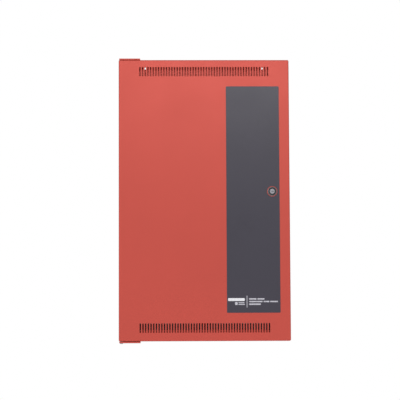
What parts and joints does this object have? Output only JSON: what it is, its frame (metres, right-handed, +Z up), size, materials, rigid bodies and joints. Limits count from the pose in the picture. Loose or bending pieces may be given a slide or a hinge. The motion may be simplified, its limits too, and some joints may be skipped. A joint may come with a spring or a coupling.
{
  "type": "fire alarm control panel",
  "caption": "Wall-mounted red steel cabinet of a fire alarm system, with a vented, hinged and locked door and a grey door label, and boards, transformers and batteries inside",
  "frame": {"origin": "centre of the backbox's back face, where it meets the wall", "axes": "+X is right seen from the front, +Y goes into the wall, so the door faces -Y, and +Z is up"},
  "size_m": [0.4064, 0.1216, 0.68],
  "materials": {
    "red_powder_coat": "fine orange-peel powder coat, semi-gloss",
    "zinc_plated_steel": "bright zinc plate",
    "pin_steel": "turned",
    "nylon": "satin",
    "board_laminate": "green solder mask",
    "standoff_brass": "nickel-plated brass, satin",
    "terminal_plastic": "moulded",
    "relay_plastic": "moulded",
    "capacitor_sleeve": "shrink sleeve",
    "chip_resin": "moulded",
    "lamp_lens": "tinted",
    "switch_plastic": "moulded",
    "lever_plastic": "moulded",
    "button_plastic": "moulded",
    "trimmer_plastic": "moulded",
    "anodised_aluminium": "clear anodised extrusion",
    "toroid_tape": "wound polyester tape",
    "coil_tape": "polyester tape",
    "lamination_steel": "varnished laminations",
    "black_rubber": "cellular rubber",
    "clear_polycarbonate": "clear",
    "black_phenolic": "moulded",
    "fuse_glass": "clear tube",
    "battery_case": "moulded",
    "terminal_lead": "tin-plated",
    "red_insulation": "extruded",
    "black_insulation": "extruded",
    "brown_insulation": "extruded",
    "ribbon_insulation": "ribbed",
    "label_film": "fine-grained polycarbonate film",
    "lock_black": "black-plated zinc die casting",
    "lock_chrome": "polished"
  },
  "bodies": {
    "cabinet": {"backbox": "red_powder_coat", "backbox_lips": "red_powder_coat", "knockout_plugs": "red_powder_coat", "hinge_bracket_top": "red_powder_coat", "hinge_bracket_bottom": "red_powder_coat", "hinge_rivets": "red_powder_coat", "hinge_pins": "pin_steel", "hinge_washer": "nylon", "chassis_plate": "zinc_plated_steel", "chassis_studs": "zinc_plated_steel", "hex_nuts": "zinc_plated_steel", "main_board": "board_laminate", "charger_board": "board_laminate", "amplifier_board": "board_laminate", "board_standoffs": "standoff_brass", "screws_and_bolts": "zinc_plated_steel", "terminal_blocks": "terminal_plastic", "terminal_screws": "zinc_plated_steel", "relays": "relay_plastic", "filter_capacitors": "capacitor_sleeve", "board_chips": "chip_resin", "status_lamps": "lamp_lens", "dip_switch_body": "switch_plastic", "button_housing": "chip_resin", "gain_trimmer_body": "trimmer_plastic", "heat_sink": "anodised_aluminium", "output_transistors": "chip_resin", "toroid_transformer": "toroid_tape", "toroid_pads": "black_rubber", "toroid_washer": "zinc_plated_steel", "mains_transformer_core": "lamination_steel", "mains_transformer_coil": "coil_tape", "mains_transformer_frame": "zinc_plated_steel", "mains_terminal_block": "black_phenolic", "mains_terminal_cover": "clear_polycarbonate", "fuse_holders": "black_phenolic", "fuses": "fuse_glass", "battery_left": "battery_case", "battery_right": "battery_case", "battery_terminals": "terminal_lead", "battery_bar": "zinc_plated_steel", "battery_pads": "black_rubber", "battery_lead_red": "red_insulation", "battery_lead_black": "black_insulation", "battery_link_lead": "red_insulation", "ribbon_cable": "ribbon_insulation", "transformer_leads": "brown_insulation"},
    "door": {"door_panel": "red_powder_coat", "door_label": "label_film", "lock_body": "lock_black", "lock_nut": "zinc_plated_steel"},
    "lock_cylinder": {"lock_plug": "lock_chrome", "lock_cam": "zinc_plated_steel", "cam_screw": "zinc_plated_steel"},
    "switch_lever_1": {"dip_lever_1": "lever_plastic"},
    "switch_lever_2": {"dip_lever_2": "lever_plastic"},
    "switch_lever_3": {"dip_lever_3": "lever_plastic"},
    "switch_lever_4": {"dip_lever_4": "lever_plastic"},
    "reset_button": {"reset_button": "button_plastic"},
    "gain_trimmer": {"gain_trimmer_rotor": "lever_plastic"}
  },
  "joints": [
    {"name": "door_hinge", "type": "hinge", "parent": "cabinet", "child": "door", "pos_m": [-0.1967, -0.1082, 0], "axis": [0, 0, -1], "range_deg": [0, 165]},
    {"name": "lock_turn", "type": "hinge", "parent": "door", "child": "lock_cylinder", "pos_m": [0.1614, -0.1, 0.0189], "axis": [0, -1, 0], "range_deg": [0, 90]},
    {"name": "switch_slide_1", "type": "slide", "parent": "cabinet", "child": "switch_lever_1", "axis": [0, 0, 1], "range_m": [0, 0.0018]},
    {"name": "switch_slide_2", "type": "slide", "parent": "cabinet", "child": "switch_lever_2", "axis": [0, 0, 1], "range_m": [0, 0.0018]},
    {"name": "switch_slide_3", "type": "slide", "parent": "cabinet", "child": "switch_lever_3", "axis": [0, 0, 1], "range_m": [0, 0.0018]},
    {"name": "switch_slide_4", "type": "slide", "parent": "cabinet", "child": "switch_lever_4", "axis": [0, 0, 1], "range_m": [0, 0.0018]},
    {"name": "reset_press", "type": "slide", "parent": "cabinet", "child": "reset_button", "axis": [0, 1, 0], "range_m": [0, 0.0005], "stiffness_N_per_m": 1500, "springref_m": -0.0005},
    {"name": "gain_turn", "type": "hinge", "parent": "cabinet", "child": "gain_trimmer", "pos_m": [0.096, -0.03, 0.05282], "axis": [0, -1, 0], "range_deg": [-135, 135]}
  ]
}
